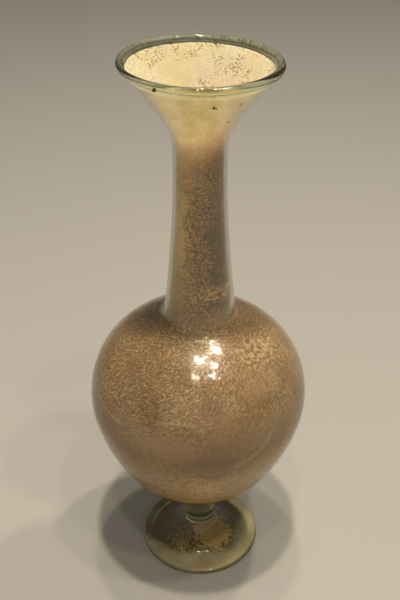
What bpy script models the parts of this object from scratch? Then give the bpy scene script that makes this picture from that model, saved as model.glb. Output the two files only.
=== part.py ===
"""A free-blown glass unguentarium: globular flask with a tall tapering neck, a wide
funnel mouth, and a stemmed foot applied hot, so that all of it is one piece of glass.

The vessel is one outline turned about +Z. The outline runs from the middle of the foot's
underside outwards, up the outside, round the lip and down the inside to the bottom of the
cavity. Small faults of hand work are then given to the turned form.
"""

import bmesh
import bpy
from math import asin, cos, degrees, pi, radians, sin
from mathutils import Vector
from mathutils.geometry import interpolate_bezier

# Foot, a trumpet shape hollow underneath, with its edge folded into a thick roll
FOOT_RADIUS = 0.0267
FOOT_ROLL_WIDTH = 0.0042
FOOT_ROLL_HEIGHT = 0.0031
FOOT_REST_WIDTH = 0.0022
FOOT_BRIM_RADIUS = 0.0172
FOOT_BRIM_TOP = 0.0030
FOOT_GLASS = 0.0021
FOOT_HEIGHT = 0.0128
FOOT_HOLLOW = 0.0075

# Stem, solid glass between the foot and the body
STEM_RADIUS = 0.0062
STEM_LENGTH = 0.0270
STEM_COLLAR_RADIUS = 0.0115
STEM_COLLAR_HEIGHT = 0.0055

# Body, a globe with slightly flattened lower sides
BODY_RADIUS = 0.0451
BODY_HEIGHT = 0.0896
BODY_UNDER_RADIUS = 0.745 * BODY_RADIUS
BODY_UNDER_HEIGHT = 0.156 * BODY_HEIGHT
BODY_UNDER_HEADING = 57.0
BODY_BELLY_HEIGHT = 0.528 * BODY_HEIGHT
SHOULDER_DROP = 0.0054
SHOULDER_REACH = 0.0044
SHOULDER_HEADING = 159.0

# Neck and mouth
NECK_ROOT_RADIUS = 0.0141
NECK_WAIST_RADIUS = 0.00995
NECK_LENGTH = 0.0646
MOUTH_RADIUS = 0.0289
MOUTH_HEIGHT = 0.0360
MOUTH_HEADING = 51.6
LIP_ROLL_RADIUS = 0.00135

# Thickness of the glass
WALL_BOTTOM = 0.0032
WALL_BODY = 0.0018
WALL_NECK = 0.0020
WALL_MOUTH = 0.0016

# Faults of hand work
BODY_SIDESTEP = 0.0008
MOUTH_TILT = 1.2
LIP_UNEVENNESS = 0.20

SIDES = 56

GLASS_COLOUR = (0.72, 0.76, 0.62, 1.0)
GLASS_ROUGHNESS = 0.12
GLASS_IOR = 1.5

BODY_BOTTOM = FOOT_HEIGHT + STEM_LENGTH
NECK_ROOT = BODY_BOTTOM + BODY_HEIGHT
NECK_WAIST = NECK_ROOT + NECK_LENGTH
TOP = NECK_WAIST + MOUTH_HEIGHT


def remove_all_objects():
    for thing in list(bpy.data.objects):
        bpy.data.objects.remove(thing, do_unlink=True)


def heading(angle):
    """Unit direction in the outline's plane, in degrees up from the outward radius."""
    return Vector((cos(radians(angle)), sin(radians(angle))))


def stretch(start, start_angle, end, end_angle, steps, reach=(0.36, 0.36)):
    """Points of one smooth curve between two points of the outline, ends included.

    A point is (radius, height). The curve leaves and arrives at the given headings, and
    reach gives its two handles as shares of the straight distance.
    """
    start, end = Vector(start), Vector(end)
    span = (end - start).length
    leave = start + heading(start_angle) * span * reach[0]
    arrive = end - heading(end_angle) * span * reach[1]
    return [p.to_2d() for p in interpolate_bezier(
        start.to_3d(), leave.to_3d(), arrive.to_3d(), end.to_3d(), steps + 1)]


def arc(centre, radius, first, last, steps, squash=1.0):
    """Points round a centre from one angle to another, its height scaled by squash."""
    turn = (last - first) / steps
    return [Vector((centre[0] + radius * cos(radians(first + turn * i)),
                    centre[1] + radius * squash * sin(radians(first + turn * i))))
            for i in range(steps + 1)]


def inner_side(outer, wall_first, wall_last):
    """The inside of a stretch of wall: each point moved inwards by the thickness there."""
    inside = []
    last = len(outer) - 1
    for i, point in enumerate(outer):
        along = (outer[min(i + 1, last)] - outer[max(i - 1, 0)]).normalized()
        inwards = Vector((-along.y, along.x))
        wall = wall_first + (wall_last - wall_first) * i / last
        inside.append(point + inwards * wall)
    return inside


def foot_outline():
    """Underside, flat resting ring, rolled edge, brim and the rise to the stem."""
    roll_half = FOOT_ROLL_WIDTH / 2
    roll_squash = FOOT_ROLL_HEIGHT / FOOT_ROLL_WIDTH
    roll_centre = (FOOT_RADIUS - roll_half, FOOT_ROLL_HEIGHT / 2)
    rest_angle = degrees(asin(FOOT_REST_WIDTH / 2 / roll_half))
    brim_end = (FOOT_RADIUS - FOOT_ROLL_WIDTH * 0.96, FOOT_ROLL_HEIGHT * 0.72)
    under_brim = (FOOT_BRIM_RADIUS, FOOT_BRIM_TOP - FOOT_GLASS)
    underside = stretch((0, FOOT_HOLLOW), 0, under_brim, -16, 5, (0.42, 0.40))
    ring = [Vector((roll_centre[0] - FOOT_REST_WIDTH / 2, 0)),
            Vector((roll_centre[0] + FOOT_REST_WIDTH / 2, 0))]
    edge = arc(roll_centre, roll_half, -90 + rest_angle, 148, 6, roll_squash)
    brim = stretch(brim_end, 176, (FOOT_BRIM_RADIUS, FOOT_BRIM_TOP), 162, 2)
    rise = stretch((FOOT_BRIM_RADIUS, FOOT_BRIM_TOP), 138, (STEM_RADIUS, FOOT_HEIGHT), 90,
                   5, (0.30, 0.52))
    return underside + ring + edge[1:] + brim + rise[1:]


def stem_outline(body_under):
    """The solid stem, flaring into the bottom of the body."""
    collar_top = next(p for p in body_under if p.x >= STEM_COLLAR_RADIUS)
    collar_low = (STEM_RADIUS, BODY_BOTTOM - STEM_COLLAR_HEIGHT)
    middle = (STEM_RADIUS, (FOOT_HEIGHT + collar_low[1]) / 2)
    return [Vector(middle)] + stretch(collar_low, 90, collar_top, 12, 3, (0.5, 0.4))[:-1]


def body_stretches(steps):
    """The globe's outside in three stretches: underneath, lower side and upper side."""
    bottom = (0, BODY_BOTTOM)
    under = (BODY_UNDER_RADIUS, BODY_BOTTOM + BODY_UNDER_HEIGHT)
    belly = (BODY_RADIUS, BODY_BOTTOM + BODY_BELLY_HEIGHT)
    shoulder = (NECK_ROOT_RADIUS + SHOULDER_REACH, NECK_ROOT - SHOULDER_DROP)
    return (
        stretch(bottom, 0, under, BODY_UNDER_HEADING, steps[0], (0.33, 0.32)),
        stretch(under, BODY_UNDER_HEADING, belly, 90, steps[1], (0.31, 0.27)),
        stretch(belly, 90, shoulder, SHOULDER_HEADING, steps[2], (0.42, 0.35)))


def neck_stretches(steps):
    """Outside of the tight bend at the neck's root, the neck, and the funnel mouth."""
    shoulder = (NECK_ROOT_RADIUS + SHOULDER_REACH, NECK_ROOT - SHOULDER_DROP)
    root = (NECK_ROOT_RADIUS, NECK_ROOT)
    waist = (NECK_WAIST_RADIUS, NECK_WAIST)
    mouth_end = lip_centre() + lip_frame()[1] * WALL_MOUTH / 2 - lip_frame()[0] * lip_sink()
    return (
        stretch(shoulder, SHOULDER_HEADING, root, 96, steps[0], (0.40, 0.40)),
        stretch(root, 96, waist, 90, steps[1]),
        stretch(waist, 90, mouth_end, MOUTH_HEADING, steps[2], (0.25, 0.78)))


def lip_frame():
    """Directions along the mouth's wall and out of it, at the lip."""
    along = heading(MOUTH_HEADING)
    return along, Vector((along.y, -along.x))


def lip_centre():
    """Middle of the lip's roll, which sets the mouth's radius and the overall height."""
    return Vector((MOUTH_RADIUS - LIP_ROLL_RADIUS, TOP - LIP_ROLL_RADIUS))


def lip_sink():
    """How far below the roll's middle the wall's faces run into it."""
    return LIP_ROLL_RADIUS * cos(asin(min(0.95, WALL_MOUTH / 2 / LIP_ROLL_RADIUS)))


def lip_outline(steps):
    """The fire-rounded roll on the end of the wall, from its outer to its inner face."""
    half_seam = degrees(asin(min(0.95, WALL_MOUTH / 2 / LIP_ROLL_RADIUS)))
    return arc(lip_centre(), LIP_ROLL_RADIUS, MOUTH_HEADING - 180 + half_seam,
               MOUTH_HEADING + 180 - half_seam, steps)


def cavity_outline():
    """The inside, from just under the lip down to the middle of the bottom."""
    under, side, upper = body_stretches((5, 4, 6))
    bend, neck, mouth = neck_stretches((3, 3, 5))
    walls = (
        inner_side(under, WALL_BOTTOM, WALL_BODY),
        inner_side(side, WALL_BODY, WALL_BODY),
        inner_side(upper, WALL_BODY, WALL_NECK),
        inner_side(bend, WALL_NECK, WALL_NECK),
        inner_side(neck, WALL_NECK, WALL_NECK),
        inner_side(mouth, WALL_NECK, WALL_MOUTH))
    upwards = [p for wall in walls for p in wall[:-1]]
    upwards[0].x = 0
    return list(reversed(upwards))


def vessel_outline():
    """Every point of the turned outline as (radius, height), in order."""
    under, side, upper = body_stretches((12, 5, 8))
    stem = stem_outline(under)
    under = [p for p in under if p.x >= STEM_COLLAR_RADIUS][::2]
    bend, neck, mouth = neck_stretches((4, 4, 6))
    return (foot_outline() + stem + under + side[1:] + upper[1:] + bend[1:] + neck[1:]
            + mouth[1:-1] + lip_outline(7) + cavity_outline())


def smooth_step(value, low, high):
    """0 below low, 1 above high, and an even S-shaped rise between them."""
    share = min(1.0, max(0.0, (value - low) / (high - low)))
    return share * share * (3 - 2 * share)


def hand_worked(point):
    """Where a point of the true turned form lies on the real, slightly uneven one."""
    distance = Vector((point.x, point.y)).length
    moved = point.copy()
    centre = lip_centre()
    in_roll = (Vector((distance, point.z)) - centre).length < LIP_ROLL_RADIUS * 1.05
    if in_roll:
        swell = 1 + LIP_UNEVENNESS * point.x / distance
        wide = (centre.x + (distance - centre.x) * swell) / distance
        moved = Vector((point.x * wide, point.y * wide,
                        centre.y + (point.z - centre.y) * swell))
    in_body = (smooth_step(point.z, FOOT_HEIGHT, BODY_BOTTOM)
               - smooth_step(point.z, NECK_ROOT - SHOULDER_DROP, NECK_ROOT + SHOULDER_DROP))
    moved.x -= BODY_SIDESTEP * in_body
    moved.z -= point.x * sin(radians(MOUTH_TILT)) * smooth_step(point.z, NECK_WAIST, TOP)
    return moved


def glass_material():
    glass = bpy.data.materials.new("glass")
    glass.use_nodes = True
    shader = glass.node_tree.nodes["Principled BSDF"]
    shader.inputs["Base Color"].default_value = GLASS_COLOUR
    shader.inputs["Roughness"].default_value = GLASS_ROUGHNESS
    shader.inputs["Metallic"].default_value = 0.0
    shader.inputs["IOR"].default_value = GLASS_IOR
    shader.inputs["Transmission Weight"].default_value = 0.9
    return glass


def make_vessel():
    """Turn the outline about +Z into one closed solid and give it its small faults."""
    mesh = bpy.data.meshes.new("unguentarium")
    solid = bmesh.new()
    line = [solid.verts.new((p.x, 0, p.y)) for p in vessel_outline()]
    edges = [solid.edges.new(pair) for pair in zip(line, line[1:])]
    bmesh.ops.spin(solid, geom=line + edges, cent=(0, 0, 0), axis=(0, 0, 1),
                   angle=2 * pi, steps=SIDES, use_merge=True)
    bmesh.ops.remove_doubles(solid, verts=solid.verts, dist=0.000001)
    for vert in solid.verts:
        vert.co = hand_worked(vert.co)
    bmesh.ops.recalc_face_normals(solid, faces=solid.faces)
    solid.to_mesh(mesh)
    solid.free()
    mesh.shade_smooth()
    mesh.set_sharp_from_angle(angle=radians(40))
    mesh.materials.append(glass_material())
    vessel = bpy.data.objects.new("unguentarium", mesh)
    bpy.context.scene.collection.objects.link(vessel)
    return vessel


remove_all_objects()
make_vessel()
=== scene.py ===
"""Looks of a free-blown glass unguentarium with weathering crust inside it."""
from math import asin, cos, degrees, pi, radians, sin

import bmesh
import bpy
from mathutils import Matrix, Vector
from mathutils.geometry import interpolate_bezier


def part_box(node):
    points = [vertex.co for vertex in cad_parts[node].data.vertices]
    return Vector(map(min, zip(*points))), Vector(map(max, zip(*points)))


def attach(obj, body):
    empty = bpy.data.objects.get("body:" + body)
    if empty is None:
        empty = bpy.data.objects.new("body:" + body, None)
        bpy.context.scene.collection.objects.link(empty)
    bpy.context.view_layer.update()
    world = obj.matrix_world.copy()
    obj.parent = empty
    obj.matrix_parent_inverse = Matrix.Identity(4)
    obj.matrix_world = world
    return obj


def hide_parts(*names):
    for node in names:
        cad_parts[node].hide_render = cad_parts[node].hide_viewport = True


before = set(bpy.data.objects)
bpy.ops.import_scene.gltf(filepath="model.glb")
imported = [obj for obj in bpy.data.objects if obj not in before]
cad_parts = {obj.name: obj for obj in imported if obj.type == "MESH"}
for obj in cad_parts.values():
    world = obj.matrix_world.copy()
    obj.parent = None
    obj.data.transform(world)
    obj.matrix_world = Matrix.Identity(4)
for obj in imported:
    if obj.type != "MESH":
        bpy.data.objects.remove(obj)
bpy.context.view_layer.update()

# The blown vessel. Body, neck, funnel and lip are one bubble of pale green glass, blown and
# fire-rounded on the pipe; the solid stem and the foot with its folded edge were applied
# hot. It is turned here from the same outline as the solid it replaces, with more sides
# and with a thinner wall in the neck and mouth, where the crust shows close to the edge.
LOW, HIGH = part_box("unguentarium")

FOOT_RADIUS = 0.0267
FOOT_ROLL_WIDTH = 0.0042
FOOT_ROLL_HEIGHT = 0.0031
FOOT_REST_WIDTH = 0.0022
FOOT_BRIM_RADIUS = 0.0172
FOOT_BRIM_TOP = 0.0030
FOOT_GLASS = 0.0021
FOOT_HEIGHT = 0.0128
FOOT_HOLLOW = 0.0075
FOOT_HOLLOW_HEADING = -16.0
STEM_RADIUS = 0.0062
STEM_COLLAR_RADIUS = 0.0115
STEM_COLLAR_HEIGHT = 0.0055
BODY_RADIUS = (HIGH[0] - LOW[0]) / 2
BODY_BOTTOM = FOOT_HEIGHT + 0.0270
BODY_HEIGHT = 0.0896
SHOULDER_DROP = 0.0054
SHOULDER_REACH = 0.0044
SHOULDER_HEADING = 159.0
NECK_ROOT = BODY_BOTTOM + BODY_HEIGHT
NECK_ROOT_RADIUS = 0.0141
NECK_WAIST = NECK_ROOT + 0.0646
NECK_WAIST_RADIUS = 0.00995
MOUTH_RADIUS = 0.0289
MOUTH_HEADING = 51.6
TOP = NECK_WAIST + 0.0360
LIP_ROLL_RADIUS = 0.00135
WALL_BOTTOM = 0.0032
WALL_BODY = 0.0018
WALL_NECK = 0.0012
WALL_WAIST = 0.0011
WALL_MOUTH = 0.0013
BODY_SIDESTEP = 0.0008
MOUTH_TILT = 1.2
LIP_UNEVENNESS = 0.20
GLOBE_STEPS = (26, 20, 34)
NECK_STEPS = (12, 24)
MOUTH_STEPS = 24
LIP_STEPS = 22
SIDES = 168
WAVER = 0.006
WAVER_SIZE = 28.0
WELD = 0.000002


def heading(angle):
    """Unit direction in the outline's plane, in degrees up from the outward radius."""
    return Vector((cos(radians(angle)), sin(radians(angle))))


def stretch(start, start_angle, end, end_angle, steps, reach=(0.36, 0.36)):
    """Points (radius, height) of one smooth curve between two points, ends included."""
    start, end = Vector(start), Vector(end)
    span = (end - start).length
    leave = start + heading(start_angle) * span * reach[0]
    arrive = end - heading(end_angle) * span * reach[1]
    return [p.to_2d() for p in interpolate_bezier(
        start.to_3d(), leave.to_3d(), arrive.to_3d(), end.to_3d(), steps + 1)]


def arc(centre, radius, first, last, steps, squash=1.0):
    """Points round a centre from one angle to another, its height scaled by squash."""
    turn = (last - first) / steps
    return [Vector((centre[0] + radius * cos(radians(first + turn * i)),
                    centre[1] + radius * squash * sin(radians(first + turn * i))))
            for i in range(steps + 1)]


def moved_inwards(outer, first, last):
    """A stretch of outline moved inwards, by a distance that changes evenly along it."""
    inside = []
    end = len(outer) - 1
    for i, point in enumerate(outer):
        along = (outer[min(i + 1, end)] - outer[max(i - 1, 0)]).normalized()
        inside.append(point + Vector((-along.y, along.x)) * (first + (last - first) * i / end))
    return inside


LIP_CENTRE = Vector((MOUTH_RADIUS - LIP_ROLL_RADIUS, TOP - LIP_ROLL_RADIUS))
LIP_SEAM = degrees(asin(WALL_MOUTH / 2 / LIP_ROLL_RADIUS))
ALONG_MOUTH = heading(MOUTH_HEADING)
OUT_OF_MOUTH = Vector((ALONG_MOUTH.y, -ALONG_MOUTH.x))
MOUTH_END = (LIP_CENTRE + OUT_OF_MOUTH * WALL_MOUTH / 2
             - ALONG_MOUTH * LIP_ROLL_RADIUS * cos(radians(LIP_SEAM)))
UNDER = Vector((0.745 * BODY_RADIUS, BODY_BOTTOM + 0.156 * BODY_HEIGHT))
UNDER_HEADING = 57.0
BELLY = Vector((BODY_RADIUS, BODY_BOTTOM + 0.528 * BODY_HEIGHT))
SHOULDER = Vector((NECK_ROOT_RADIUS + SHOULDER_REACH, NECK_ROOT - SHOULDER_DROP))
ROOT = Vector((NECK_ROOT_RADIUS, NECK_ROOT))
ROOT_HEADING = 96.0
WAIST = Vector((NECK_WAIST_RADIUS, NECK_WAIST))


def globe_stretches(steps=GLOBE_STEPS):
    """Outside of the globe: underneath, lower side and upper side."""
    return [stretch((0, BODY_BOTTOM), 0, UNDER, UNDER_HEADING, steps[0], (0.33, 0.32)),
            stretch(UNDER, UNDER_HEADING, BELLY, 90, steps[1], (0.31, 0.27)),
            stretch(BELLY, 90, SHOULDER, SHOULDER_HEADING, steps[2], (0.42, 0.35))]


def neck_stretches(mouth_steps=MOUTH_STEPS):
    """Outside of the bend at the neck's root, of the neck, and of the funnel mouth."""
    return [stretch(SHOULDER, SHOULDER_HEADING, ROOT, ROOT_HEADING, NECK_STEPS[0],
                    (0.40, 0.40)),
            stretch(ROOT, ROOT_HEADING, WAIST, 90, NECK_STEPS[1]),
            stretch(WAIST, 90, MOUTH_END, MOUTH_HEADING, mouth_steps, (0.25, 0.78))]


def foot_hollow(steps, seat=0.0):
    """The hollow under the foot, from the axis to the brim, seat deeper in the glass."""
    under_brim = (FOOT_BRIM_RADIUS, FOOT_BRIM_TOP - FOOT_GLASS + seat)
    return stretch((0, FOOT_HOLLOW + seat), 0, under_brim, FOOT_HOLLOW_HEADING, steps,
                   (0.42, 0.40))


def foot_and_stem():
    """Underside, resting ring, folded edge, brim, rise, stem and the flare above it."""
    half = FOOT_ROLL_WIDTH / 2
    squash = FOOT_ROLL_HEIGHT / FOOT_ROLL_WIDTH
    centre = (FOOT_RADIUS - half, FOOT_ROLL_HEIGHT / 2)
    rest_angle = degrees(asin(FOOT_REST_WIDTH / 2 / half))
    brim_end = (FOOT_RADIUS - FOOT_ROLL_WIDTH * 0.97, FOOT_ROLL_HEIGHT * 0.58)
    hollow = foot_hollow(14)
    edge = arc(centre, half, -90 + rest_angle, 168, 22, squash)
    collar_top = next(p for p in globe_stretches()[0] if p.x >= STEM_COLLAR_RADIUS)
    collar_low = (STEM_RADIUS, BODY_BOTTOM - STEM_COLLAR_HEIGHT)
    return (
        hollow
        + stretch(hollow[-1], FOOT_HOLLOW_HEADING,
                  (centre[0] - FOOT_REST_WIDTH / 2, 0), -10, 6)[1:]
        + edge
        + stretch(brim_end, 178, (FOOT_BRIM_RADIUS, FOOT_BRIM_TOP), 120, 8, (0.5, 0.3))
        + stretch((FOOT_BRIM_RADIUS, FOOT_BRIM_TOP), 138, (STEM_RADIUS, FOOT_HEIGHT), 90,
                  14, (0.30, 0.52))[1:]
        + stretch((STEM_RADIUS, FOOT_HEIGHT), 90, collar_low, 90, 6)[1:]
        + stretch(collar_low, 90, collar_top, 12, 10, (0.5, 0.4))[1:-1])


def inner_wall(seat=0.0, globe_steps=GLOBE_STEPS, mouth_steps=MOUTH_STEPS):
    """The inside from the bottom of the cavity up to the lip, seat deeper in the wall."""
    walls = (WALL_BOTTOM, WALL_BODY, WALL_BODY, WALL_NECK, WALL_NECK, WALL_WAIST, WALL_MOUTH)
    parts = globe_stretches(globe_steps) + neck_stretches(mouth_steps)
    inside = [moved_inwards(part, walls[i] - seat, walls[i + 1] - seat)[:-1]
              for i, part in enumerate(parts)]
    points = [p for part in inside for p in part]
    points[0].x = 0
    return points


def vessel_outline():
    """The whole turned outline, from under the foot, over the lip, down to the cavity."""
    globe = [p for part in globe_stretches() for p in part[1:]]
    neck = [p for part in neck_stretches() for p in part[1:]]
    lip = arc(LIP_CENTRE, LIP_ROLL_RADIUS, MOUTH_HEADING - 180 + LIP_SEAM,
              MOUTH_HEADING + 180 - LIP_SEAM, LIP_STEPS)
    return (foot_and_stem() + [p for p in globe if p.x >= STEM_COLLAR_RADIUS or p.y > BELLY.y]
            + neck[:-1] + lip + inner_wall()[::-1])


def smooth_step(value, low, high):
    """0 below low, 1 above high, and an even S-shaped rise between them."""
    share = min(1.0, max(0.0, (value - low) / (high - low)))
    return share * share * (3 - 2 * share)


def hand_worked(point):
    """Where a point of the true turned form lies on the real, slightly uneven one."""
    distance = Vector((point.x, point.y)).length
    moved = point.copy()
    from_roll = (Vector((distance, point.z)) - LIP_CENTRE).length
    if from_roll < LIP_ROLL_RADIUS * 1.05:
        swell = 1 + LIP_UNEVENNESS * point.x / distance
        wide = (LIP_CENTRE.x + (distance - LIP_CENTRE.x) * swell) / distance
        moved = Vector((point.x * wide, point.y * wide,
                        LIP_CENTRE.y + (point.z - LIP_CENTRE.y) * swell))
    in_body = (smooth_step(point.z, FOOT_HEIGHT, BODY_BOTTOM)
               - smooth_step(point.z, NECK_ROOT - SHOULDER_DROP, NECK_ROOT + SHOULDER_DROP))
    moved.x -= BODY_SIDESTEP * in_body
    moved.z -= point.x * sin(radians(MOUTH_TILT)) * smooth_step(point.z, NECK_WAIST, TOP)
    return moved


def add_node(tree, kind, inputs=None, **settings):
    """Add a node, set its properties, and link or set each input named or numbered."""
    made = tree.nodes.new(kind)
    for name, value in settings.items():
        setattr(made, name, value)
    for name, value in (inputs or {}).items():
        if isinstance(value, bpy.types.NodeSocket):
            tree.links.new(value, made.inputs[name])
        else:
            made.inputs[name].default_value = value
    return made


def sums(tree, operation, first, second=0.0):
    """The result socket of one Math node."""
    return add_node(tree, "ShaderNodeMath", {0: first, 1: second},
                    operation=operation).outputs[0]


def new_tree(name, kind, inputs, outputs):
    """A node group with its sockets: {name: (socket type, default)} in, {name: type} out."""
    tree = bpy.data.node_groups.new(name, kind)
    for label, (socket_type, default) in inputs.items():
        socket = tree.interface.new_socket(label, in_out="INPUT", socket_type=socket_type)
        if default is not None:
            socket.default_value = default
    for label, socket_type in outputs.items():
        tree.interface.new_socket(label, in_out="OUTPUT", socket_type=socket_type)
    return tree, tree.nodes.new("NodeGroupInput").outputs, tree.nodes.new("NodeGroupOutput")


TURNING_INPUTS = {"Outline": ("NodeSocketGeometry", None),
                  "Sides": ("NodeSocketInt", SIDES),
                  "Rows": ("NodeSocketInt", 10),
                  "Waver": ("NodeSocketFloat", 0.0),
                  "Waver Size": ("NodeSocketFloat", WAVER_SIZE),
                  "Finish": ("NodeSocketMaterial", None)}


def close_and_finish(tree, skin, finish, result):
    """End a tree: join the skin's seams and poles, make it real and give it its finish."""
    closed = add_node(tree, "GeometryNodeMergeByDistance", {
        "Geometry": skin, "Distance": WELD})
    real = add_node(tree, "GeometryNodeRealizeInstances", {0: closed.outputs[0]})
    finished = add_node(tree, "GeometryNodeSetMaterial", {
        "Geometry": real.outputs[0], "Material": finish})
    tree.links.new(finished.outputs[0], result.inputs["Skin"])


def turning_tree():
    """Turns the points of an outline about +Z into a closed skin that faces outwards."""
    tree, given, result = new_tree("turned on the pipe", "GeometryNodeTree",
                                   TURNING_INPUTS, {"Skin": "NodeSocketGeometry"})
    columns = sums(tree, "ADD", given["Sides"], 1.0)
    grid = add_node(tree, "GeometryNodeMeshGrid", {
        "Size X": 1.0, "Size Y": 1.0, "Vertices X": columns, "Vertices Y": given["Rows"]})
    place = add_node(tree, "ShaderNodeSeparateXYZ",
                     {0: tree.nodes.new("GeometryNodeInputPosition").outputs[0]})
    share_round = sums(tree, "ADD", place.outputs["X"], 0.5)
    share_along = sums(tree, "ADD", place.outputs["Y"], 0.5)
    angle = sums(tree, "MULTIPLY", share_round, 2 * pi)
    last_row = sums(tree, "SUBTRACT", given["Rows"], 1.0)
    row = sums(tree, "ROUND", sums(tree, "MULTIPLY", share_along, last_row))
    point = add_node(tree, "GeometryNodeSampleIndex", {
        "Geometry": given["Outline"], "Index": row,
        "Value": tree.nodes.new("GeometryNodeInputPosition").outputs[0]},
        data_type="FLOAT_VECTOR")
    point = add_node(tree, "ShaderNodeSeparateXYZ", {0: point.outputs[0]})
    round_x = sums(tree, "COSINE", angle)
    round_y = sums(tree, "SINE", angle)
    probe = add_node(tree, "ShaderNodeCombineXYZ", {
        0: sums(tree, "MULTIPLY", round_x, BODY_RADIUS),
        1: sums(tree, "MULTIPLY", round_y, BODY_RADIUS), 2: point.outputs["Z"]})
    waver = add_node(tree, "ShaderNodeTexNoise", {
        "Vector": probe.outputs[0], "Scale": given["Waver Size"], "Detail": 1.0})
    swing = sums(tree, "MULTIPLY", sums(tree, "SUBTRACT", waver.outputs[0], 0.5),
                 given["Waver"])
    radius = sums(tree, "MULTIPLY", point.outputs["X"], sums(tree, "ADD", swing, 1.0))
    turned = add_node(tree, "ShaderNodeCombineXYZ", {
        0: sums(tree, "MULTIPLY", round_x, radius),
        1: sums(tree, "MULTIPLY", round_y, radius), 2: point.outputs["Z"]})
    placed = add_node(tree, "GeometryNodeSetPosition", {
        "Geometry": grid.outputs["Mesh"], "Position": turned.outputs[0]})
    close_and_finish(tree, placed.outputs[0], given["Finish"], result)
    return tree


def grown(name, outline, tree, **given):
    """Run a tree on an outline and keep the result as a plain, hand-worked mesh object."""
    line = bpy.data.curves.new(name + "_outline", "CURVE")
    line.dimensions = "3D"
    spline = line.splines.new("POLY")
    spline.points.add(len(outline) - 1)
    for point, spot in zip(spline.points, outline):
        point.co = (spot.x, 0, spot.y, 1)
    source = bpy.data.objects.new(name + "_outline", line)
    bpy.context.scene.collection.objects.link(source)
    modifier = source.modifiers.new("grown", "NODES")
    modifier.node_group = tree
    sockets = {s.name: s.identifier for s in tree.interface.items_tree if s.in_out == "INPUT"}
    for label, value in dict(given, Rows=len(outline)).items():
        modifier[sockets[label.replace("_", " ")]] = value
    evaluated = source.evaluated_get(bpy.context.evaluated_depsgraph_get())
    mesh = bpy.data.meshes.new_from_object(evaluated)
    bpy.data.objects.remove(source, do_unlink=True)
    mesh.name = name
    for vert in mesh.vertices:
        vert.co = hand_worked(vert.co)
    mesh.shade_smooth()
    piece = bpy.data.objects.new(name, mesh)
    bpy.context.scene.collection.objects.link(piece)
    return piece


def grain_group():
    """Marks of weathering: soft clouds, fine strokes that slant round the form, and pits."""
    tree, given, result = new_tree("slanting grain", "ShaderNodeTree", {
        "Place": ("NodeSocketVector", None),
        "Cloud Size": ("NodeSocketFloat", 60.0),
        "Stroke Size": ("NodeSocketFloat", 900.0),
        "Pit Size": ("NodeSocketFloat", 500.0),
        "Twist": ("NodeSocketFloat", -26.0),
        "Stretch": ("NodeSocketFloat", 0.4)},
        {"Clouds": "NodeSocketFloat", "Strokes": "NodeSocketFloat", "Pits": "NodeSocketFloat",
         "Crumbs": "NodeSocketFloat"})
    clouds = add_node(tree, "ShaderNodeTexNoise", {
        "Vector": given["Place"], "Scale": given["Cloud Size"], "Detail": 4.0,
        "Roughness": 0.6})
    height = add_node(tree, "ShaderNodeSeparateXYZ", {0: given["Place"]}).outputs["Z"]
    twisted = add_node(tree, "ShaderNodeVectorRotate", {
        "Vector": given["Place"], "Angle": sums(tree, "MULTIPLY", height, given["Twist"])},
        rotation_type="Z_AXIS")
    drawing = add_node(tree, "ShaderNodeCombineXYZ", {0: 1.0, 1: 1.0, 2: given["Stretch"]})
    drawn = add_node(tree, "ShaderNodeVectorMath", {
        0: twisted.outputs[0], 1: drawing.outputs[0]}, operation="MULTIPLY")
    strokes = add_node(tree, "ShaderNodeTexNoise", {
        "Vector": drawn.outputs[0], "Scale": given["Stroke Size"], "Detail": 4.0,
        "Roughness": 0.78})
    crumbs = add_node(tree, "ShaderNodeTexNoise", {
        "Vector": drawn.outputs[0], "Scale": sums(tree, "MULTIPLY", given["Stroke Size"], 0.7),
        "Detail": 4.0, "Roughness": 0.75})
    flattened = add_node(tree, "ShaderNodeVectorMath", {
        0: given["Place"], 1: (1.0, 1.0, 1.9)}, operation="MULTIPLY")
    pits = add_node(tree, "ShaderNodeTexVoronoi", {
        "Vector": flattened.outputs[0], "Scale": given["Pit Size"], "Randomness": 1.0})
    spread = add_node(tree, "ShaderNodeTexNoise", {
        "Vector": given["Place"], "Scale": sums(tree, "MULTIPLY", given["Cloud Size"], 2.3),
        "Detail": 2.0})
    reach = ramp(tree, spread.outputs[0], 0.38, 0.66, 0.06, 0.50)
    holes = add_node(tree, "ShaderNodeMapRange", {
        "Value": sums(tree, "SUBTRACT", reach, pits.outputs["Distance"]),
        "From Min": 0.0, "From Max": 0.12})
    tree.links.new(ramp(tree, clouds.outputs[0], 0.32, 0.68), result.inputs["Clouds"])
    tree.links.new(ramp(tree, strokes.outputs[0], 0.36, 0.66), result.inputs["Strokes"])
    tree.links.new(holes.outputs[0], result.inputs["Pits"])
    tree.links.new(crumbs.outputs[0], result.inputs["Crumbs"])
    return tree


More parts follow.
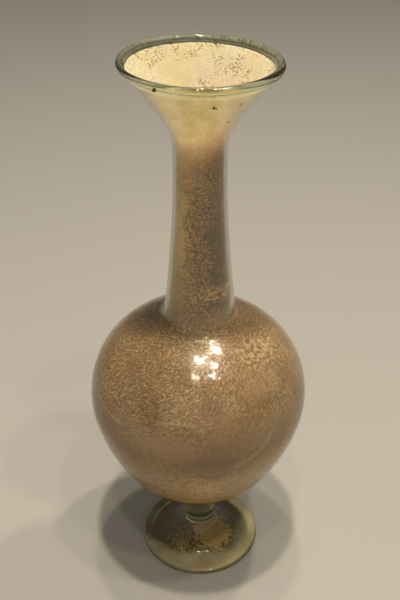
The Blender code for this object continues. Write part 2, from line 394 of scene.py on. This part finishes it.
def patch_group():
    """An irregular patch: full at its centre, broken up by noise towards its edge."""
    tree, given, result = new_tree("irregular patch", "ShaderNodeTree", {
        "Place": ("NodeSocketVector", None),
        "Centre": ("NodeSocketVector", None),
        "Reach": ("NodeSocketVector", None),
        "Raggedness": ("NodeSocketFloat", 0.6),
        "Grain Size": ("NodeSocketFloat", 300.0)}, {"Patch": "NodeSocketFloat"})
    away = add_node(tree, "ShaderNodeVectorMath", {0: given["Place"], 1: given["Centre"]},
                    operation="SUBTRACT")
    scaled = add_node(tree, "ShaderNodeVectorMath", {0: away.outputs[0], 1: given["Reach"]},
                      operation="DIVIDE")
    distance = add_node(tree, "ShaderNodeVectorMath", {0: scaled.outputs[0]},
                        operation="LENGTH").outputs["Value"]
    noise = add_node(tree, "ShaderNodeTexNoise", {
        "Vector": given["Place"], "Scale": given["Grain Size"], "Detail": 3.0,
        "Roughness": 0.6})
    wobble = sums(tree, "MULTIPLY", sums(tree, "SUBTRACT", noise.outputs[0], 0.5),
                  sums(tree, "MULTIPLY", given["Raggedness"], 4.0))
    edge = sums(tree, "ADD", distance, wobble)
    tree.links.new(ramp(tree, edge, 1.0, 0.55), result.inputs["Patch"])
    return tree


def blend(tree, share, first, second):
    """The colour socket of a mix between two colours, each a socket or plain values."""
    mixed = add_node(tree, "ShaderNodeMix", {0: share, 6: first, 7: second},
                     data_type="RGBA")
    return mixed.outputs[2]


def ramp(tree, value, low, high, to_low=0.0, to_high=1.0):
    """Map a value from one range to another, clamped, with a soft start and end."""
    if low > high:
        low, high, to_low, to_high = high, low, to_high, to_low
    return add_node(tree, "ShaderNodeMapRange", {
        "Value": value, "From Min": low, "From Max": high, "To Min": to_low,
        "To Max": to_high}, interpolation_type="SMOOTHSTEP").outputs[0]


GRAIN = grain_group()
PATCH = patch_group()


def marks_of(tree, group, **given):
    """Place one of the two groups in a material and return its outputs."""
    place = tree.nodes.new("ShaderNodeTexCoord").outputs["Object"]
    used = add_node(tree, "ShaderNodeGroup", node_tree=group)
    tree.links.new(place, used.inputs["Place"])
    for label, value in given.items():
        used.inputs[label.replace("_", " ")].default_value = value
    return used.outputs


def inward_side(tree):
    """1 on faces that look towards the flask's axis, 0 on those that look away from it."""
    place = tree.nodes.new("ShaderNodeTexCoord")
    radial = add_node(tree, "ShaderNodeVectorMath", {
        0: place.outputs["Object"], 1: (-1.0, -1.0, 0.0)}, operation="MULTIPLY")
    inwards = add_node(tree, "ShaderNodeVectorMath", {
        0: radial.outputs[0], 1: place.outputs["Normal"]}, operation="DOT_PRODUCT")
    return ramp(tree, inwards.outputs["Value"], -0.002, 0.002)


OLD_GLASS = (0.94, 0.92, 0.80, 1.0)
LIP_GLASS = (0.72, 0.77, 0.62, 1.0)
LIP_DIRT = (0.34, 0.25, 0.14, 1.0)
STAINED_GLASS = (0.55, 0.44, 0.22, 1.0)
GLASS_DEPTH_TINT = (0.60, 0.74, 0.36, 1.0)
GLASS_DENSITY = 30.0
GLASS_SHADOW = (0.97, 0.96, 0.92, 1.0)
LIP_SHADOW = (0.45, 0.46, 0.42, 1.0)
STAIN_FADES = (0.020, 0.012)
DULL_STARTS = (0.104, 0.114)
DULL_ENDS = (0.128, 0.122)
DULL_COAT = 0.55
DULL_ROUGHNESS = 0.30
GLASS_RELIEF = 0.00008
GLASS_RELIEF_STRENGTH = 0.09


def glass_material():
    """Old pale green glass: clear, greener where thick, stained in the foot, dull above."""
    glass = bpy.data.materials.new("old glass")
    glass.use_nodes = True
    tree = glass.node_tree
    tree.nodes.clear()
    marks = marks_of(tree, GRAIN, Cloud_Size=110.0, Stroke_Size=1000.0, Pit_Size=900.0)
    place = add_node(tree, "ShaderNodeSeparateXYZ",
                     {0: tree.nodes.new("ShaderNodeTexCoord").outputs["Object"]})
    in_foot = ramp(tree, place.outputs["Z"], *STAIN_FADES)
    stain = sums(tree, "MULTIPLY", sums(tree, "MULTIPLY", marks["Strokes"], marks["Clouds"]),
                 ramp(tree, in_foot, 0.0, 1.0, 0.08, 0.90))
    stain = sums(tree, "ADD", stain, sums(tree, "MULTIPLY", in_foot, 0.30))
    lip = ramp(tree, place.outputs["Z"], LIP_CENTRE.y - 2 * LIP_ROLL_RADIUS,
               LIP_CENTRE.y - LIP_ROLL_RADIUS)
    inner_side = inward_side(tree)
    dirt = sums(tree, "MULTIPLY", sums(tree, "MULTIPLY", lip, inner_side),
                sums(tree, "MULTIPLY", ramp(tree, marks["Crumbs"], 0.47, 0.60),
                     ramp(tree, marks["Clouds"], 0.05, 0.45)))
    colour = blend(tree, stain, blend(tree, lip, OLD_GLASS, LIP_GLASS), STAINED_GLASS)
    colour = blend(tree, dirt, colour, LIP_DIRT)
    roughness = ramp(tree, marks["Clouds"], 0.0, 1.0, 0.015, 0.070)
    dulled = sums(tree, "MULTIPLY",
                  ramp(tree, place.outputs["Z"], *DULL_STARTS, 0.0, DULL_COAT),
                  ramp(tree, place.outputs["Z"], *DULL_ENDS))
    height = sums(tree, "SUBTRACT", marks["Strokes"], marks["Pits"])
    bump = add_node(tree, "ShaderNodeBump", {
        "Height": height, "Strength": GLASS_RELIEF_STRENGTH, "Distance": GLASS_RELIEF})
    shader = add_node(tree, "ShaderNodeBsdfPrincipled", {
        "Base Color": colour,
        "Roughness": roughness, "Normal": bump.outputs[0], "Metallic": 0.0, "IOR": 1.5,
        "Specular IOR Level": 0.38, "Transmission Weight": 0.985,
        "Coat Weight": dulled, "Coat Roughness": DULL_ROUGHNESS})
    clear = add_node(tree, "ShaderNodeBsdfTransparent", {
        "Color": blend(tree, lip, GLASS_SHADOW, LIP_SHADOW)})
    to_lamp = add_node(tree, "ShaderNodeLightPath").outputs["Is Shadow Ray"]
    surface = add_node(tree, "ShaderNodeMixShader", {
        0: to_lamp, 1: shader.outputs[0], 2: clear.outputs[0]})
    depth = add_node(tree, "ShaderNodeVolumeAbsorption", {
        "Color": GLASS_DEPTH_TINT, "Density": GLASS_DENSITY})
    add_node(tree, "ShaderNodeOutputMaterial", {
        "Surface": surface.outputs[0], "Volume": depth.outputs[0]})
    return glass


TURNING = turning_tree()
vessel = grown("glass_vessel", vessel_outline(), TURNING, Sides=SIDES, Waver=WAVER,
               Waver_Size=WAVER_SIZE, Finish=glass_material())
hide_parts("unguentarium")
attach(vessel, "root")

# The weathering crust. Ground water turned the glass's inner face to a cream and tan skin
# that flakes and pits. It lines the funnel, neck and globe, is a fraction of a millimetre
# thick, and breaks off in a crumbled line just under the lip.
CRUST_THICKNESS = 0.00022
CRUST_RELIEF = 0.0005
CRUST_RELIEF_SIZE = 330.0
CRUST_GLOW_DEPTH = 0.0005
CRUST_GLOW_COLOURS = (1.0, 0.93, 0.80)
CRUST_FLAKES = 0.00025
CRUST_SEAT = 0.00006
NECK_GAP = 0.00008
NECK_GAP_FROM = (NECK_ROOT - 0.006, NECK_ROOT + 0.002)
CRUST_REACH = 0.2298
CRUST_RAGGED = 0.002
CRUST_BREAK = 0.2280
BREAK_CRUMBLING = 0.0150
BREAK_SOFTNESS = 0.0002
CRUST_SIDES = 250
CRUST_GLOBE_STEPS = (17, 13, 22)
CRUST_MOUTH_STEPS = 90
THINNER_FROM = (NECK_WAIST - 0.006, NECK_WAIST + 0.008)
THINNED = 0.25
CREAM = (0.95, 0.72, 0.43, 1.0)
CREAM_OCHRE = (0.88, 0.62, 0.32, 1.0)
# Cream of the crust's side against the glass, partly its own colour, partly painted glow of
# light through the thin crust.
GLASS_SIDE_CREAM_AND_PAINTED_GLOW = (1.0, 0.71, 0.45, 1.0)
CREAM_SHADE = (0.72, 0.49, 0.24, 1.0)
CREAM_ROSE = (0.86, 0.62, 0.42, 1.0)
CREAM_ORANGE = (0.85, 0.58, 0.27, 1.0)
PIT_BROWN = (0.16, 0.105, 0.055, 1.0)
GLOBE_TAN = (0.34, 0.205, 0.090, 1.0)
GLOBE_BROWN = (0.25, 0.135, 0.048, 1.0)
GLOBE_FLECK = (0.64, 0.505, 0.32, 1.0)
GLOBE_GAP = (0.120, 0.078, 0.038, 1.0)
GLOBE_RUST = (0.40, 0.19, 0.07, 1.0)
GLOBE_OLIVE = (0.23, 0.155, 0.060, 1.0)
GLOBE_ROSE = (0.43, 0.27, 0.155, 1.0)
# Golden tone of the lower globe: partly its own colour, partly painted light that brightens
# the bottom.
GLOBE_GOLD_AND_PAINTED_LIGHT = (0.88, 0.54, 0.17, 1.0)
DEPOSIT_GOLD = (0.92, 0.66, 0.28, 1.0)
NECK_PALE = (0.82, 0.57, 0.27, 1.0)
NECK_TAN = (0.30, 0.155, 0.050, 1.0)
NECK_BROWN = (0.055, 0.025, 0.007, 1.0)
NECK_CRUMB = (0.66, 0.42, 0.18, 1.0)

# Where one look of the crust gives way to another, in metres above the floor or across.
FLAKY_FROM = (0.084, 0.108)
GOLD_AND_PAINTED_LIGHT_FROM = (0.098, 0.060)
NECK_LOOK_FROM = (NECK_ROOT + 0.001, NECK_ROOT + 0.009)
NECK_RING_FROM = (0.1375, 0.1400)
NECK_RING_TO = (0.1460, 0.1435)
NECK_LEFT_PALE_UP = (0.140, 0.165)
NECK_LEFT_PALE_ACROSS = (-0.0018, -0.0070)
NECK_DARK_ACROSS = (-0.004, 0.006)
NECK_BORDER_WOBBLE = 0.0030
NECK_TOP_PALE_FROM = (NECK_WAIST - 0.030, NECK_WAIST + 0.002)
NECK_TOP_PALE_ACROSS = (0.005, -0.005)
NECK_ROUGH_FROM = (-0.0085, -0.0035)
NECK_ROUGH_TO = (0.001, 0.008)
MOUTH_LOOK_FROM = (NECK_WAIST - 0.009, NECK_WAIST + 0.018)
MOUTH_LOOK_SLANT = 0.006

# Each patch: its colour, centre, reach along x, y and z, raggedness and strength.
GLOBE_PATCHES = (
    (GLOBE_OLIVE, (0.0044, -0.0431, 0.0837), (0.017, 0.014, 0.0100), 0.9, 0.55),
    (GLOBE_OLIVE, (0.0330, -0.0290, 0.0930), (0.010, 0.010, 0.0090), 0.9, 0.40),
    (GLOBE_ROSE, (-0.0128, -0.0404, 0.0925), (0.017, 0.014, 0.0075), 0.6, 0.55),
    # Partly painted sheen: this smooth rose patch right of the glints stands in for the glow
    # of lamp light on the glass there.
    (GLOBE_ROSE, (0.0207, -0.0246, 0.1102), (0.010, 0.010, 0.0060), 0.9, 0.50),
    (GLOBE_ROSE, (0.0090, -0.0400, 0.1000), (0.011, 0.011, 0.0070), 0.8, 0.35),
    (GLOBE_RUST, (-0.030, -0.030, 0.074), (0.020, 0.020, 0.016), 0.5, 0.50),
    (GLOBE_RUST, (0.034, 0.020, 0.066), (0.020, 0.020, 0.014), 0.5, 0.50),
    (DEPOSIT_GOLD, (0.002, -0.041, 0.067), (0.0075, 0.010, 0.0070), 1.2, 0.75),
    (GLOBE_FLECK, (0.0265, -0.0165, 0.1180), (0.0080, 0.008, 0.0032), 2.2, 0.55),
    # Painted light: this pale-flake patch on the back-left shoulder stands in for lamp light
    # falling beside the mouth's shadow.
    (GLOBE_FLECK, (-0.022, 0.028, 0.1180), (0.0080, 0.008, 0.0032), 2.2, 0.55),
)
GLOBE_PATCH_GRAIN = 620.0
MOUTH_PATCHES = (
    (CREAM_ROSE, (0.006, 0.017, 0.219), (0.012, 0.010, 0.008), 0.5, 0.7),
    (CREAM_ORANGE, (0.000, 0.012, 0.206), (0.009, 0.008, 0.007), 0.5, 0.7),
)
MOUTH_PATCH_GRAIN = 300.0
# Each painted highlight, a soft pale line on the globe: the three points that its line runs
# through.
GLOBE_PAINTED_HIGHLIGHTS = (
    ((-0.0171, -0.0386, 0.1023), (-0.0100, -0.0407, 0.1030), (-0.0011, -0.0420, 0.1028)),
    ((0.0322, -0.0311, 0.0927), (0.0236, -0.0378, 0.0815), (0.0125, -0.0422, 0.0788)),
    ((-0.0408, -0.0163, 0.0972), (-0.0365, -0.0252, 0.0948), (-0.0300, -0.0328, 0.0942)),
)
HIGHLIGHT_LINE_WIDTH = 0.0008
HIGHLIGHT_LINE_STRENGTH = 0.30


def crust_tree():
    """Grows a lumpy skin inwards from a turned wall, as far as a ragged border."""
    tree, given, result = new_tree("crust on glass", "GeometryNodeTree", dict(
        TURNING_INPUTS, **{"Thickness": ("NodeSocketFloat", CRUST_THICKNESS),
                           "Relief": ("NodeSocketFloat", CRUST_RELIEF),
                           "Relief Size": ("NodeSocketFloat", CRUST_RELIEF_SIZE),
                           "Centre": ("NodeSocketVector", None),
                           "Reach": ("NodeSocketFloat", 1.0),
                           "Ragged": ("NodeSocketFloat", 0.0)}),
        {"Skin": "NodeSocketGeometry"})
    turned = add_node(tree, "GeometryNodeGroup", node_tree=TURNING)
    for label in TURNING_INPUTS:
        tree.links.new(given[label], turned.inputs[label])
    here = tree.nodes.new("GeometryNodeInputPosition").outputs[0]
    away = add_node(tree, "ShaderNodeVectorMath", {0: here, 1: given["Centre"]},
                    operation="DISTANCE").outputs["Value"]
    flaking = add_node(tree, "ShaderNodeTexNoise", {
        "Vector": here, "Scale": given["Relief Size"], "Detail": 4.0, "Roughness": 0.75})
    swing = sums(tree, "MULTIPLY", sums(tree, "SUBTRACT", flaking.outputs[0], 0.5),
                 given["Ragged"])
    lost = add_node(tree, "FunctionNodeCompare", {
        0: sums(tree, "ADD", away, swing), 1: given["Reach"]}, operation="GREATER_THAN")
    left = add_node(tree, "GeometryNodeDeleteGeometry", {
        "Geometry": turned.outputs[0], "Selection": lost.outputs[0]}, domain="FACE")
    facing = tree.nodes.new("GeometryNodeInputNormal").outputs[0]
    inwards = add_node(tree, "ShaderNodeVectorMath", {0: facing, "Scale": -1.0},
                       operation="SCALE").outputs[0]
    lumps = add_node(tree, "ShaderNodeTexNoise", {
        "Scale": given["Relief Size"], "Detail": 4.0, "Roughness": 0.6})
    rise = sums(tree, "MULTIPLY", sums(tree, "SUBTRACT", lumps.outputs[0], 0.38),
                given["Relief"])
    level = add_node(tree, "ShaderNodeSeparateXYZ", {0: here}).outputs["Z"]
    thinned = ramp(tree, level, *THINNER_FROM, 1.0, THINNED)
    grown_in = add_node(tree, "GeometryNodeExtrudeMesh", {
        "Mesh": left.outputs[0], "Offset": inwards,
        "Offset Scale": sums(tree, "MULTIPLY", given["Thickness"], thinned),
        "Individual": False}, mode="FACES")
    raised = add_node(tree, "GeometryNodeSetPosition", {
        "Geometry": grown_in.outputs["Mesh"], "Selection": grown_in.outputs["Top"],
        "Offset": add_node(tree, "ShaderNodeVectorMath", {
            0: inwards, "Scale": sums(tree, "MULTIPLY", thinned,
                                      sums(tree, "MAXIMUM", rise, 0.0))},
            operation="SCALE").outputs[0]})
    flipped = add_node(tree, "GeometryNodeFlipFaces", {0: raised.outputs[0]})
    joined = tree.nodes.new("GeometryNodeJoinGeometry")
    tree.links.new(left.outputs[0], joined.inputs[0])
    tree.links.new(flipped.outputs[0], joined.inputs[0])
    close_and_finish(tree, joined.outputs[0], given["Finish"], result)
    return tree


def with_patches(tree, ground, patches, grain_size):
    """Lay irregular patches of other colours over a ground colour."""
    for tone, centre, reach, raggedness, strength in patches:
        patch = marks_of(tree, PATCH, Centre=centre, Reach=reach, Raggedness=raggedness,
                         Grain_Size=grain_size)[0]
        ground = blend(tree, sums(tree, "MULTIPLY", patch, strength), ground, tone)
    return ground


def painted_highlight_line(tree, first, middle, last):
    """The share of a thin painted highlight line on the globe, through three points and fading
    out.
    """
    place = tree.nodes.new("ShaderNodeTexCoord").outputs["Object"]
    across = (middle - first).cross(last - first).normalized()
    off = add_node(tree, "ShaderNodeVectorMath", {0: place, 1: tuple(across)},
                   operation="DOT_PRODUCT").outputs["Value"]
    off = sums(tree, "ABSOLUTE", sums(tree, "SUBTRACT", off, across.dot(middle)))
    away = add_node(tree, "ShaderNodeVectorMath", {0: place, 1: tuple(middle)},
                    operation="DISTANCE").outputs["Value"]
    reach = (last - first).length * 0.62
    line = ramp(tree, off, HIGHLIGHT_LINE_WIDTH, HIGHLIGHT_LINE_WIDTH / 8, 0.0, HIGHLIGHT_LINE_STRENGTH)
    return sums(tree, "MULTIPLY", line, ramp(tree, away, reach, reach * 0.55))


def globe_colour(tree, height, marks, fine):
    """Tan, flaky above the belly, smoother and more golden towards the bottom, that gold
    partly painted light.
    """
    flaky = ramp(tree, height, *FLAKY_FROM)
    ground = blend(tree, marks["Clouds"], GLOBE_BROWN, GLOBE_TAN)
    # Painted light: the globe turns a paler gold towards the bottom, standing in for the light
    # that reaches it there.
    ground = blend(tree, ramp(tree, height, *GOLD_AND_PAINTED_LIGHT_FROM, 0.0, 0.9), ground, GLOBE_GOLD_AND_PAINTED_LIGHT)
    ground = blend(tree, ramp(tree, fine["Clouds"], 0.65, 0.0, 0.0, 0.42), ground, GLOBE_BROWN)
    grain = sums(tree, "ADD", sums(tree, "MULTIPLY", marks["Strokes"], 0.55),
                 sums(tree, "MULTIPLY", fine["Strokes"], 0.45))
    thick = ramp(tree, marks["Clouds"], 0.1, 0.9, 0.45, 1.0)
    fleck = sums(tree, "MULTIPLY", ramp(tree, grain, 0.52, 0.85),
                 sums(tree, "MULTIPLY", thick, ramp(tree, flaky, 0.0, 1.0, 0.36, 0.95)))
    gap = sums(tree, "MULTIPLY", ramp(tree, grain, 0.46, 0.16),
               ramp(tree, flaky, 0.0, 1.0, 0.30, 0.85))
    colour = blend(tree, gap, blend(tree, fleck, ground, GLOBE_FLECK), GLOBE_GAP)
    colour = with_patches(tree, colour, GLOBE_PATCHES, GLOBE_PATCH_GRAIN)
    # Painted highlights: thin pale lines of light laid over the globe's colour.
    for points in GLOBE_PAINTED_HIGHLIGHTS:
        colour = blend(tree, painted_highlight_line(tree, *map(Vector, points)), colour, GLOBE_FLECK)
    return colour


def neck_colour(tree, height, across, marks):
    """Crumbly tan, pale on top and down its left, brown at its right, ringed with crumbs."""
    uneven = sums(tree, "MULTIPLY", sums(tree, "SUBTRACT", marks["Clouds"], 0.5),
                  NECK_BORDER_WOBBLE)
    across = sums(tree, "ADD", across, uneven)
    ground = blend(tree, ramp(tree, across, *NECK_DARK_ACROSS), NECK_TAN, NECK_BROWN)
    pale = sums(tree, "MULTIPLY", ramp(tree, across, *NECK_LEFT_PALE_ACROSS),
                ramp(tree, height, *NECK_LEFT_PALE_UP, 0.25, 1.0))
    ground = blend(tree, pale, ground, NECK_PALE)
    on_top = sums(tree, "MULTIPLY", ramp(tree, across, *NECK_TOP_PALE_ACROSS, 0.45, 1.0),
                  ramp(tree, height, *NECK_TOP_PALE_FROM, 0.0, 0.78))
    ground = blend(tree, on_top, ground, NECK_PALE)
    rough = sums(tree, "MULTIPLY", ramp(tree, across, *NECK_ROUGH_FROM, 0.20, 0.95),
                 ramp(tree, across, *NECK_ROUGH_TO, 1.0, 0.40))
    gap = sums(tree, "MULTIPLY", ramp(tree, marks["Strokes"], 0.45, 0.10), rough)
    fleck = sums(tree, "MULTIPLY", ramp(tree, marks["Strokes"], 0.55, 0.90), rough)
    colour = blend(tree, fleck, blend(tree, gap, ground, NECK_BROWN), NECK_CRUMB)
    ring = sums(tree, "MULTIPLY", ramp(tree, height, *NECK_RING_FROM),
                ramp(tree, height, *NECK_RING_TO, 0.0, 0.90))
    colour = blend(tree, sums(tree, "MULTIPLY", ring, ramp(tree, marks["Crumbs"], 0.47, 0.40)),
                   colour, NECK_BROWN)
    crumbs = sums(tree, "MULTIPLY", ring, ramp(tree, marks["Crumbs"], 0.49, 0.58))
    return blend(tree, crumbs, colour, NECK_CRUMB)


def mouth_colour(tree, marks):
    """Cream with ochre clouds, its open face pierced by small dark pits, its glass side
    brightened by painted glow.
    """
    inner_side = inward_side(tree)
    ground = blend(tree, marks["Clouds"], CREAM_OCHRE, CREAM)
    ground = with_patches(tree, ground, MOUTH_PATCHES, MOUTH_PATCH_GRAIN)
    # Painted glow: the side against the glass is brighter and warmer, standing in for light
    # shining through the thin crust.
    ground = blend(tree, ramp(tree, inner_side, 1.0, 0.0, 0.0, 0.9), ground,
                   GLASS_SIDE_CREAM_AND_PAINTED_GLOW)
    ground = blend(tree, ramp(tree, marks["Crumbs"], 0.50, 0.30, 0.0, 0.5), ground,
                   CREAM_SHADE)
    pits = sums(tree, "MULTIPLY", marks["Pits"], ramp(tree, inner_side, 0.0, 1.0, 0.20, 0.72))
    return blend(tree, pits, ground, PIT_BROWN)


def crust_material():
    """Cream in the funnel, crumbly brown and tan in the neck, tan and flaky in the globe."""
    crust = bpy.data.materials.new("weathering crust")
    crust.use_nodes = True
    tree = crust.node_tree
    shader = tree.nodes["Principled BSDF"]
    shader.inputs["Specular IOR Level"].default_value = 0.7
    shader.inputs["Subsurface Weight"].default_value = 1.0
    shader.inputs["Subsurface Scale"].default_value = CRUST_GLOW_DEPTH
    shader.inputs["Subsurface Radius"].default_value = CRUST_GLOW_COLOURS
    marks = marks_of(tree, GRAIN, Cloud_Size=55.0, Stroke_Size=1250.0, Pit_Size=1000.0,
                     Stretch=0.5)
    fine = marks_of(tree, GRAIN, Cloud_Size=300.0, Stroke_Size=1450.0, Twist=-70.0,
                    Stretch=1.1)
    place = add_node(tree, "ShaderNodeSeparateXYZ",
                     {0: tree.nodes.new("ShaderNodeTexCoord").outputs["Object"]})
    height, across = place.outputs["Z"], place.outputs["X"]
    in_neck = ramp(tree, height, *NECK_LOOK_FROM)
    slanting = sums(tree, "SUBTRACT", height,
                    ramp(tree, across, -0.010, 0.010, -MOUTH_LOOK_SLANT, MOUTH_LOOK_SLANT))
    in_mouth = ramp(tree, slanting, *MOUTH_LOOK_FROM)
    colour = blend(tree, in_neck, globe_colour(tree, height, marks, fine),
                   neck_colour(tree, height, across, fine))
    colour = blend(tree, in_mouth, colour, mouth_colour(tree, marks))
    tree.links.new(colour, shader.inputs["Base Color"])
    tree.links.new(ramp(tree, in_neck, 0.0, 1.0, 0.28, 0.92), shader.inputs["Roughness"])
    level = sums(tree, "ADD", height, sums(tree, "MULTIPLY", across, radians(MOUTH_TILT)))
    crumbling = sums(tree, "MULTIPLY", sums(tree, "SUBTRACT", fine["Crumbs"], 0.5),
                     BREAK_CRUMBLING)
    left = ramp(tree, sums(tree, "ADD", level, crumbling), CRUST_BREAK + BREAK_SOFTNESS,
                CRUST_BREAK - BREAK_SOFTNESS)
    tree.links.new(left, shader.inputs["Alpha"])
    relief = sums(tree, "SUBTRACT", sums(tree, "MULTIPLY", fine["Strokes"], 0.6),
                  marks["Pits"])
    bump = add_node(tree, "ShaderNodeBump", {
        "Height": relief, "Strength": 1.0, "Distance": CRUST_FLAKES})
    tree.links.new(bump.outputs[0], shader.inputs["Normal"])
    return crust


def crust_outline():
    """The inner wall pushed a hair into the glass, but just clear of it in the neck."""
    seated = inner_wall(CRUST_SEAT, CRUST_GLOBE_STEPS, CRUST_MOUTH_STEPS)
    loose = inner_wall(-NECK_GAP, CRUST_GLOBE_STEPS, CRUST_MOUTH_STEPS)
    line = []
    for near, far in zip(seated, loose):
        share = smooth_step(near.y, *NECK_GAP_FROM)
        line.append(near.lerp(far, share))
    return line


CRUST = crust_tree()
crust = grown("weathering_crust", crust_outline(), CRUST, Sides=CRUST_SIDES, Waver=WAVER,
              Waver_Size=WAVER_SIZE, Reach=CRUST_REACH, Ragged=CRUST_RAGGED,
              Relief_Size=CRUST_RELIEF_SIZE, Finish=crust_material())
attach(crust, "root")

# Earth caught in the hollow under the foot, and the dark grains burnt or washed into the
# lip and funnel. The soil dried there in thin lumpy skins, the larger one at the front right.
# Each patch: its centre, how far it reaches, how ragged its border is, and its grain.
EARTH_PATCHES = (((0.0060, -0.0045, 0.0045), 0.0085, 0.024, 420.0),
                 ((-0.0085, -0.0100, 0.0030), 0.0024, 0.052, 1500.0))
EARTH_THICKNESS = 0.00035
EARTH_RELIEF = 0.0012
EARTH_SEAT = 0.00005
EARTH_STEPS = 44
EARTH_SIDES = 190
SOIL_RELIEF = 0.0003
EARTH_BROWN = (0.85, 0.62, 0.33, 1.0)
EARTH_PALE = (1.0, 0.86, 0.56, 1.0)
GRAIN_BLACK = (0.035, 0.026, 0.020, 1.0)
GRAIN_UNEVENNESS = 0.28
GRAIN_FLATNESS = 0.5
DARK_GRAINS = (((-0.01435, -0.02500, 0.22830), 0.00075), ((0.0045, -0.02235, 0.2213), 0.00050),
               ((0.0094, -0.0136, 0.2129), 0.00032), ((0.0134, -0.0183, 0.2211), 0.00030),
               ((0.0131, -0.0176, 0.2201), 0.00022), ((0.0052, -0.0221, 0.2209), 0.00030))


def soil_material(name, dark, pale):
    """Dry matt soil, mixed from a dark and a pale earth."""
    soil = bpy.data.materials.new(name)
    soil.use_nodes = True
    tree = soil.node_tree
    shader = tree.nodes["Principled BSDF"]
    shader.inputs["Roughness"].default_value = 0.95
    marks = marks_of(tree, GRAIN, Cloud_Size=260.0, Stroke_Size=900.0, Stretch=1.0, Twist=0.0)
    share = sums(tree, "MULTIPLY", marks["Strokes"], marks["Clouds"])
    tree.links.new(blend(tree, share, dark, pale), shader.inputs["Base Color"])
    bump = add_node(tree, "ShaderNodeBump", {
        "Height": share, "Strength": 0.8, "Distance": SOIL_RELIEF})
    tree.links.new(bump.outputs[0], shader.inputs["Normal"])
    return soil


earth_paint = soil_material("dried earth", EARTH_BROWN, EARTH_PALE)
underside = foot_hollow(EARTH_STEPS, EARTH_SEAT)[::-1]
for number, (centre, reach, ragged, size) in enumerate(EARTH_PATCHES):
    earth = grown(f"earth_under_foot_{number + 1}", underside, CRUST, Sides=EARTH_SIDES,
                  Centre=centre, Reach=reach, Ragged=ragged, Thickness=EARTH_THICKNESS,
                  Relief=EARTH_RELIEF, Relief_Size=size, Finish=earth_paint)
    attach(earth, "root")

grain_mesh = bmesh.new()
for spot, size in DARK_GRAINS:
    lump = bmesh.ops.create_icosphere(grain_mesh, subdivisions=2, radius=size)
    for vert in lump["verts"]:
        uneven = sin(vert.co.x / size * 5 + spot[2] * 9000) * cos(vert.co.z / size * 4)
        wide = 1 + GRAIN_UNEVENNESS * uneven
        lumpy = Vector((vert.co.x * wide, vert.co.y * GRAIN_FLATNESS, vert.co.z * wide))
        vert.co = lumpy + Vector(spot)
grains_mesh = bpy.data.meshes.new("dark_grains")
grain_mesh.to_mesh(grains_mesh)
grain_mesh.free()
grains_mesh.shade_smooth()
grains_mesh.materials.append(soil_material("burnt grain", GRAIN_BLACK, GRAIN_BLACK))
grains = bpy.data.objects.new("dark_grains", grains_mesh)
bpy.context.scene.collection.objects.link(grains)
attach(grains, "root")

# Where it stands and how it is seen: a plain pale floor, six small lamps overhead and a wide
# soft one in front, all warm, and the eye looking down at the flask from above its mouth.
FLOOR_HALF = 6.0
FLOOR_COLOUR = (0.42, 0.41, 0.39, 1.0)
FLOOR_ROUGHNESS = 0.9
WARM_LIGHT = (1.0, 0.885, 0.72)
LAMP_HEIGHT = 1.10
LAMP_SIZE = 0.035
LAMP_AIM = (0, 0, 0.12)
OVERHEAD_LAMPS = ((0.01, -0.125, 5.4), (0.26, -0.20, 1.7), (0.00, 0.11, 2.2),
                  (0.26, 0.11, 3.0), (-0.047, -0.43, 1.1), (0.25, -0.41, 1.1))
SOFT_LAMP_PLACE = (0.0, -1.20, 0.55)
SOFT_LAMP_AIM = (0, 0, 0.08)
SOFT_LAMP_SIZE = (2.0, 1.0)
SOFT_LAMP_POWER = 2.8
ROOM_LIGHT = (0.80, 0.75, 0.66, 1.0)
ROOM_STRENGTH = 0.20
EYE_DISTANCE = 0.2978
EYE_HEIGHT = 0.3295
EYE_PITCH = 33.5
FOCAL_PIXELS = 899.0
IMAGE_HEIGHT = 600.0
SENSOR = 36.0

floor_mesh = bpy.data.meshes.new("floor")
floor_mesh.from_pydata([(-FLOOR_HALF, -FLOOR_HALF, 0), (FLOOR_HALF, -FLOOR_HALF, 0),
                        (FLOOR_HALF, FLOOR_HALF, 0), (-FLOOR_HALF, FLOOR_HALF, 0)],
                       [], [(0, 1, 2, 3)])
floor = bpy.data.objects.new("floor", floor_mesh)
bpy.context.scene.collection.objects.link(floor)
floor_paint = bpy.data.materials.new("floor paint")
floor_paint.use_nodes = True
floor_shader = floor_paint.node_tree.nodes["Principled BSDF"]
floor_shader.inputs["Base Color"].default_value = FLOOR_COLOUR
floor_shader.inputs["Roughness"].default_value = FLOOR_ROUGHNESS
floor_mesh.materials.append(floor_paint)


def lamp(name, place, aim, size, power):
    """A warm rectangular lamp at a place, turned to shine at a point."""
    light = bpy.data.lights.new(name, "AREA")
    light.shape = "RECTANGLE"
    light.size, light.size_y = size
    light.energy = power
    light.color = WARM_LIGHT
    holder = bpy.data.objects.new(name, light)
    holder.location = place
    holder.rotation_euler = (Vector(aim) - Vector(place)).to_track_quat("-Z", "Y").to_euler()
    bpy.context.scene.collection.objects.link(holder)


for x, y, power in OVERHEAD_LAMPS:
    lamp("overhead_lamp", (x, y, LAMP_HEIGHT), LAMP_AIM, (LAMP_SIZE, LAMP_SIZE), power)
lamp("wide_soft_lamp", SOFT_LAMP_PLACE, SOFT_LAMP_AIM, SOFT_LAMP_SIZE, SOFT_LAMP_POWER)

world = bpy.data.worlds.new("room")
world.use_nodes = True
world.node_tree.nodes["Background"].inputs["Color"].default_value = ROOM_LIGHT
world.node_tree.nodes["Background"].inputs["Strength"].default_value = ROOM_STRENGTH
bpy.context.scene.world = world
bpy.context.scene.view_settings.view_transform = "Standard"

eye = bpy.data.cameras.new("eye")
eye.sensor_width = SENSOR
eye.lens = FOCAL_PIXELS / IMAGE_HEIGHT * SENSOR
eye.clip_start = 0.01
camera = bpy.data.objects.new("eye", eye)
camera.location = (0, -EYE_DISTANCE, EYE_HEIGHT)
camera.rotation_euler = (radians(90 - EYE_PITCH), 0, 0)
bpy.context.scene.collection.objects.link(camera)
bpy.context.scene.camera = camera
